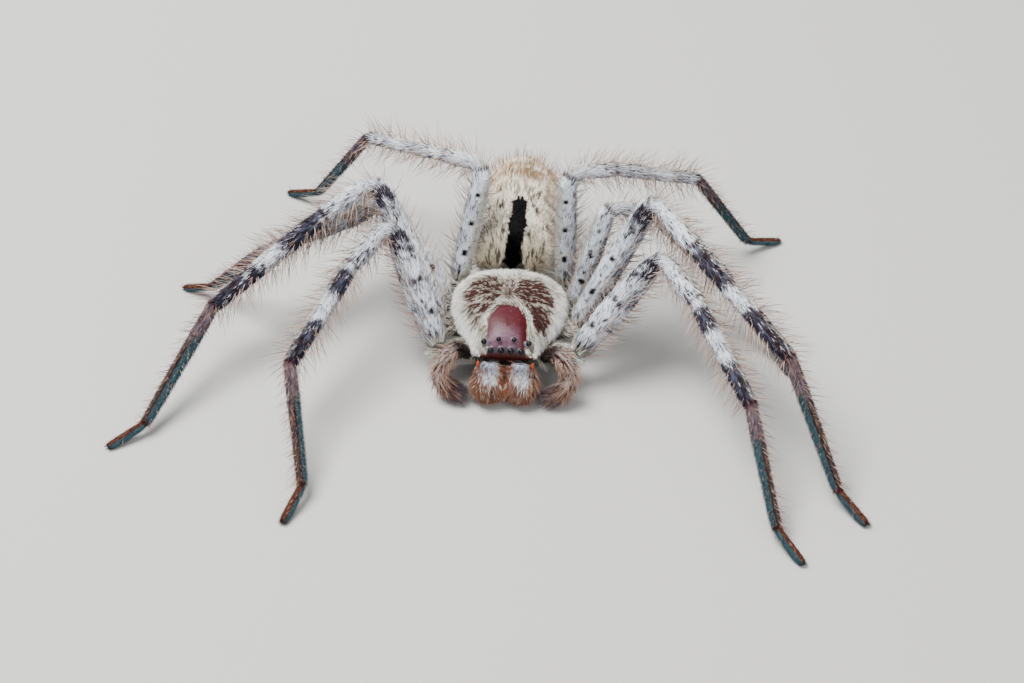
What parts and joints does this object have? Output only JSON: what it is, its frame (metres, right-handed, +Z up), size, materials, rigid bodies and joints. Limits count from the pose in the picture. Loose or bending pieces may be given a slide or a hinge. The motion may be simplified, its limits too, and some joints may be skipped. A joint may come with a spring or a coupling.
{
  "type": "huntsman spider",
  "caption": "Life-size huntsman spider standing with long jointed legs splayed forward and sideways, a broad furry carapace and an oval abdomen.",
  "frame": {"origin": "middle of the bounding box, at floor level", "axes": "+X toward the spider's own left across its legs, +Y toward its rear so the head looks along -Y, +Z up"},
  "size_m": [0.1016, 0.0694, 0.0247],
  "materials": {
    "leg_grey": "short flat hair over a hard leg",
    "leg_white": "short flat hair over a hard leg",
    "leg_banded": "banded short hair over a hard leg",
    "foot_rust": "short dense hair",
    "carapace_fur": "short dense hair over a hard shield",
    "under_brown": "satin, thinly haired",
    "abdomen_fur": "long soft hair",
    "jaw_rust": "haired, semi gloss",
    "fang_red": "polished dark red",
    "eye_black": "polished black",
    "palp_hair": "short hair"
  },
  "bodies": {
    "root": {"carapace": "carapace_fur", "underside": "under_brown", "abdomen": "abdomen_fur", "spinnerets": "jaw_rust", "chelicera_L": "jaw_rust", "fang_L": "fang_red", "palp_L": "palp_hair", "eye_AME_L": "eye_black", "eye_ALE_L": "eye_black", "eye_PME_L": "eye_black", "eye_PLE_L": "eye_black", "chelicera_R": "jaw_rust", "fang_R": "fang_red", "palp_R": "palp_hair", "eye_AME_R": "eye_black", "eye_ALE_R": "eye_black", "eye_PME_R": "eye_black", "eye_PLE_R": "eye_black", "leg_L1_femur": "leg_grey", "leg_L1_patella": "leg_white", "leg_L1_tibia": "leg_banded", "leg_L1_metatarsus": "foot_rust", "leg_L1_tarsus": "foot_rust", "leg_R1_femur": "leg_grey", "leg_R1_patella": "leg_white", "leg_R1_tibia": "leg_banded", "leg_R1_metatarsus": "foot_rust", "leg_R1_tarsus": "foot_rust", "leg_L2_femur": "leg_grey", "leg_L2_patella": "leg_white", "leg_L2_tibia": "leg_banded", "leg_L2_metatarsus": "foot_rust", "leg_L2_tarsus": "foot_rust", "leg_R2_femur": "leg_grey", "leg_R2_patella": "leg_white", "leg_R2_tibia": "leg_banded", "leg_R2_metatarsus": "foot_rust", "leg_R2_tarsus": "foot_rust", "leg_L3_femur": "leg_grey", "leg_L3_patella": "leg_white", "leg_L3_tibia": "leg_banded", "leg_L3_metatarsus": "foot_rust", "leg_L3_tarsus": "foot_rust", "leg_R3_femur": "leg_grey", "leg_R3_patella": "leg_white", "leg_R3_tibia": "leg_banded", "leg_R3_metatarsus": "foot_rust", "leg_R3_tarsus": "foot_rust", "leg_L4_femur": "leg_grey", "leg_L4_patella": "leg_white", "leg_L4_tibia": "leg_banded", "leg_L4_metatarsus": "foot_rust", "leg_L4_tarsus": "foot_rust", "leg_R4_femur": "leg_grey", "leg_R4_patella": "leg_white", "leg_R4_tibia": "leg_banded", "leg_R4_metatarsus": "foot_rust", "leg_R4_tarsus": "foot_rust"}
  },
  "joints": []
}
